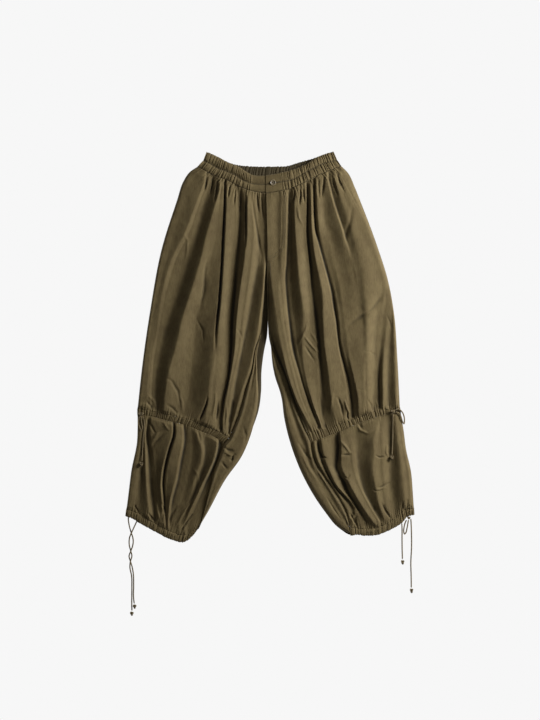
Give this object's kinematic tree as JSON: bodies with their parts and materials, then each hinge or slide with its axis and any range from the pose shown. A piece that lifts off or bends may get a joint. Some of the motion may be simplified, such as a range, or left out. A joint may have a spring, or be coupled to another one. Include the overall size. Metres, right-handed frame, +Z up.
{
  "type": "gathered balloon trousers",
  "caption": "Wide balloon trousers laid flat, with an elastic waistband, a buttoned fly, gathered knee and hem casings and hanging drawcords.",
  "frame": {"origin": "on the surface that the trousers lie on, under the middle of the box around the cloth, cords left out", "axes": "+Y towards the waistband, +X to the right as seen from above with the waistband at the top, +Z up from the surface through the front"},
  "size_m": [0.722, 1.1595, 0.0167],
  "materials": {
    "cloth": "olive cotton twill with a slight sheen, garment washed",
    "cord": "round braided cotton cord, matt",
    "button": "horn-like, softly polished"
  },
  "bodies": {
    "root": {"waistband_left": "cloth", "waistband_right": "cloth", "waistband_back": "cloth", "front_left": "cloth", "front_right": "cloth", "fly": "cloth", "button": "button", "knee_casing_left": "cloth", "knee_casing_right": "cloth", "front_lower_left": "cloth", "front_lower_right": "cloth", "inner_leg_left": "cloth", "inner_leg_right": "cloth", "hem_front_left": "cloth", "hem_front_right": "cloth", "back_left": "cloth", "back_right": "cloth", "knee_back_left": "cloth", "knee_back_right": "cloth", "back_lower_left": "cloth", "back_lower_right": "cloth", "hem_back_left": "cloth", "hem_back_right": "cloth", "hem_cord_left_a": "cord", "hem_cord_left_b": "cord", "hem_cord_right_a": "cord", "hem_cord_right_b": "cord", "hem_loop_right": "cord", "knee_cord_left": "cord", "knee_loop_left": "cord", "knee_cord_right": "cord", "knee_loop_right": "cord", "hem_knot_left_a": "cord", "hem_knot_left_b": "cord", "hem_knot_right_a": "cord", "hem_knot_right_b": "cord", "hem_bow_right": "cord", "knee_bow_left": "cord", "knee_knot_left": "cord", "knee_bow_right": "cord", "knee_knot_right": "cord"}
  },
  "joints": []
}
